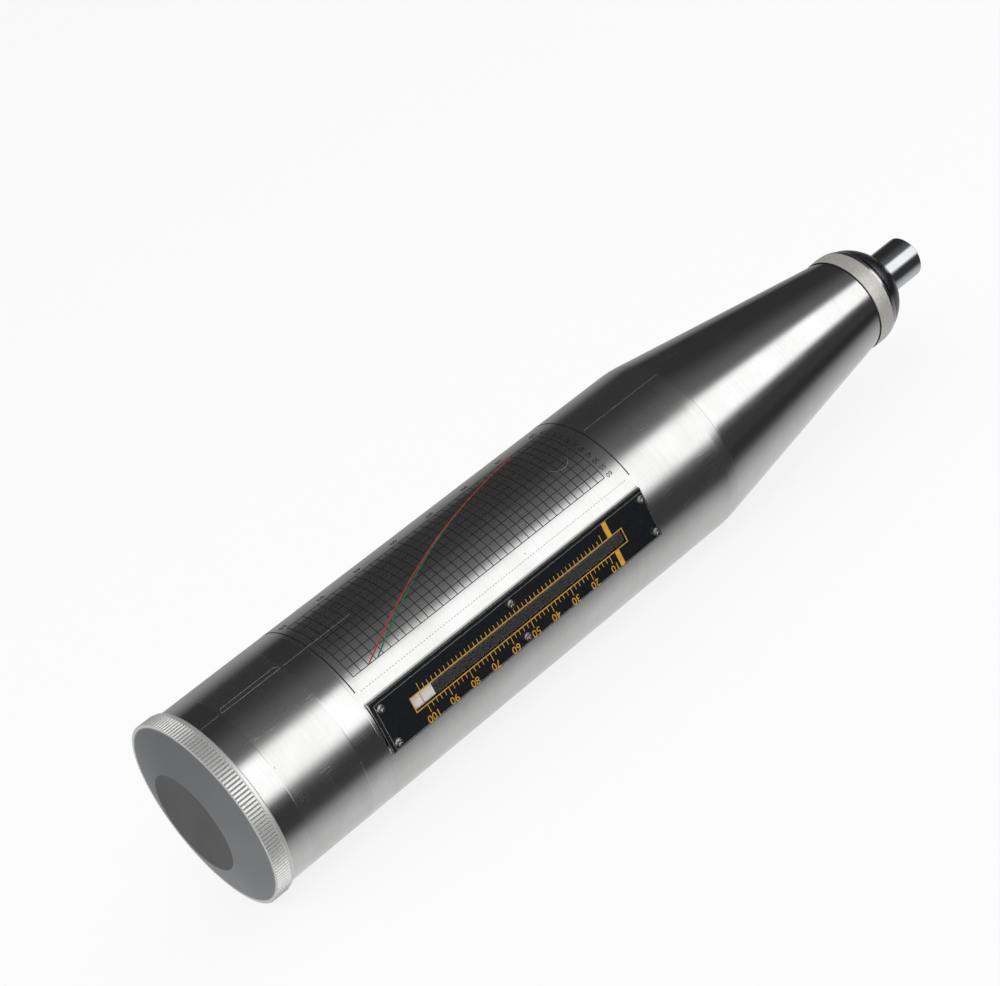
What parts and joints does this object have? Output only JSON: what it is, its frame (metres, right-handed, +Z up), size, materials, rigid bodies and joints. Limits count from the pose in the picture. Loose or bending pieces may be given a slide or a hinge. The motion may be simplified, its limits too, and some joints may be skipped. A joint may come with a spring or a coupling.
{
  "type": "concrete rebound hammer",
  "caption": "Hand-held concrete rebound hammer: aluminium barrel and cone, knurled end cover, steel plunger, windowed rebound scale with a sliding rider.",
  "frame": {"origin": "centre of the rear cover's flat end face, on the tool's axis", "axes": "+X along the tool from the rear cover to the plunger, scale facing -Y, lock button facing +Y, +Z up with the tool lying on its side"},
  "size_m": [0.2857, 0.0632, 0.056],
  "materials": {
    "barrel_aluminium": "satin turned, lengthwise sheen",
    "cover_aluminium": "bright knurl, satin end",
    "cap_aluminium": "satin",
    "polished_steel": "ground and polished",
    "black_plate": "black satin, yellow print",
    "screw_steel": "bright",
    "clear_window": "clear",
    "ivory_plastic": "smooth, one thin red line",
    "brass_parts": "turned",
    "spring_steel": "drawn wire",
    "button_steel": "polished",
    "inner_steel": "turned",
    "hammer_steel": "ground",
    "grey_felt": "felt"
  },
  "bodies": {
    "barrel": {"housing": "barrel_aluminium", "rear_cover": "cover_aluminium", "front_cap": "cap_aluminium", "scale_plate": "black_plate", "scale_screws": "screw_steel", "window": "clear_window", "pointer_shaft": "polished_steel", "shaft_blocks": "brass_parts", "button_bush": "cap_aluminium", "button_spring": "spring_steel", "trip_screw": "inner_steel", "lock_nut": "inner_steel", "impact_spring": "spring_steel", "pressure_spring": "spring_steel", "spring_seat": "brass_parts", "clamp_ring": "inner_steel", "felt_seal": "grey_felt"},
    "core": {"guide_rod": "inner_steel", "guide_flange": "inner_steel", "hook_pin": "inner_steel", "hook_spring": "spring_steel", "buffer_spring": "spring_steel"},
    "plunger_end": {"plunger": "polished_steel"},
    "hammer": {"hammer_mass": "hammer_steel"},
    "hook_lever": {"hook": "inner_steel"},
    "rider": {"pointer_block": "ivory_plastic", "pointer_leaf": "spring_steel"},
    "lock_button": {"button": "button_steel"}
  },
  "joints": [
    {"name": "plunger_stroke", "type": "slide", "parent": "barrel", "child": "core", "axis": [1, 0, 0], "range_m": [0, 0.075], "deforming": ["pressure_spring"]},
    {"name": "plunger_cushion", "type": "slide", "parent": "core", "child": "plunger_end", "axis": [-1, 0, 0], "range_m": [0, 0.003], "stiffness_N_per_m": 2000, "deforming": ["buffer_spring"]},
    {"name": "hammer_strike", "type": "slide", "parent": "core", "child": "hammer", "axis": [-1, 0, 0], "range_m": [-0.075, 0], "deforming": ["impact_spring"]},
    {"name": "rider_slide", "type": "slide", "parent": "barrel", "child": "rider", "axis": [1, 0, 0], "range_m": [0, 0.075]},
    {"name": "button_press", "type": "slide", "parent": "barrel", "child": "lock_button", "axis": [0, -1, 0], "range_m": [0, 0.0035], "stiffness_N_per_m": 600, "deforming": ["button_spring"]},
    {"name": "hook_tilt", "type": "hinge", "parent": "core", "child": "hook_lever", "pos_m": [0.0341, 0, 0.0176], "axis": [0, 1, 0], "range_deg": [0, 8], "deforming": ["hook_spring"]}
  ]
}
